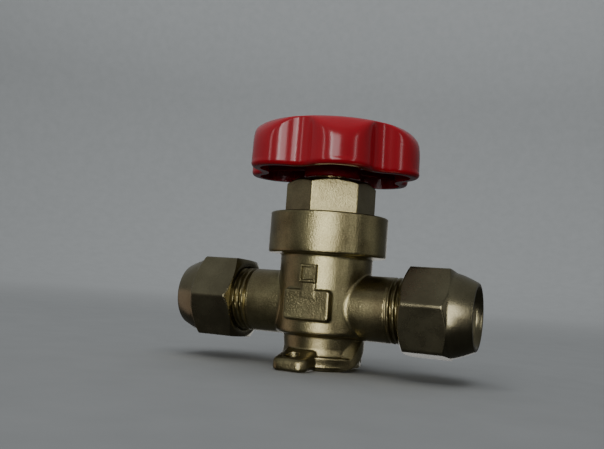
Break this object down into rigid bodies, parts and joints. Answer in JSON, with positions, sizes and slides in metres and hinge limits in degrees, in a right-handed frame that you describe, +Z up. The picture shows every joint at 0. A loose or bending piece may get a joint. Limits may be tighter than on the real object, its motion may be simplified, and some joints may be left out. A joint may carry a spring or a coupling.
{
  "type": "hand-operated diaphragm shut-off valve",
  "caption": "Straight forged brass shut-off valve with flare nuts on both arms, a screwed bonnet and a red lobed handwheel; a metal diaphragm pack shuts a soft disc on the seat.",
  "frame": {"origin": "centre of the foot's underside, on the stem axis", "axes": "+Z up along the stem axis, +X along the flow axis towards the inlet arm, -Y towards the side with the two raised pads"},
  "size_m": [0.0912, 0.0504, 0.0721],
  "materials": {
    "forged_brass": "blasted satin, tarnished",
    "nut_brass": "smooth satin, tarnished",
    "turned_brass": "turned",
    "red_plastic": "gloss",
    "plated_steel": "zinc plated",
    "stainless": "bright",
    "black_rubber": "matte",
    "gasket_fibre": "matte",
    "seat_nylon": "matte"
  },
  "bodies": {
    "body": {"valve_body": "forged_brass", "bonnet": "forged_brass", "stem_seal": "black_rubber", "clamp_ring": "turned_brass", "diaphragm_top": "stainless", "diaphragm_middle": "stainless", "diaphragm_bottom": "stainless", "diaphragm_gasket": "gasket_fibre", "plunger_guide": "turned_brass", "return_spring": "stainless"},
    "thrust": {"thrust_pad": "turned_brass"},
    "stem": {"stem": "turned_brass", "handwheel": "red_plastic", "wheel_washer": "plated_steel", "wheel_screw": "plated_steel"},
    "plunger": {"plunger": "turned_brass", "seat_disc": "seat_nylon", "seat_disc_washer": "stainless", "seat_disc_screw": "stainless", "spring_button": "turned_brass"},
    "left_nut": {"flare_nut_left": "nut_brass"},
    "right_nut": {"flare_nut_right": "nut_brass"}
  },
  "joints": [
    {"name": "stem_rise", "type": "slide", "parent": "body", "child": "thrust", "axis": [0, 0, 1], "range_m": [0, 0.0025], "deforming": ["diaphragm_top", "diaphragm_middle", "diaphragm_bottom"]},
    {"name": "handwheel_turn", "type": "hinge", "parent": "thrust", "child": "stem", "pos_m": [0, 0, 0.0502], "axis": [0, 0, 1], "range_deg": [0, 600]},
    {"name": "plunger_lift", "type": "slide", "parent": "body", "child": "plunger", "axis": [0, 0, 1], "range_m": [0, 0.0025], "deforming": ["return_spring"]},
    {"name": "left_nut_turn", "type": "hinge", "parent": "body", "child": "left_nut", "pos_m": [-0.0324, 0, 0.0185], "axis": [-1, 0, 0], "continuous": true},
    {"name": "right_nut_turn", "type": "hinge", "parent": "body", "child": "right_nut", "pos_m": [0.0324, 0, 0.0185], "axis": [1, 0, 0], "continuous": true}
  ],
  "couplings": [
    {"joint": "stem_rise", "follows": "handwheel_turn", "m_per_rad": 0.00023873},
    {"joint": "plunger_lift", "follows": "handwheel_turn", "m_per_rad": 0.00023873}
  ]
}
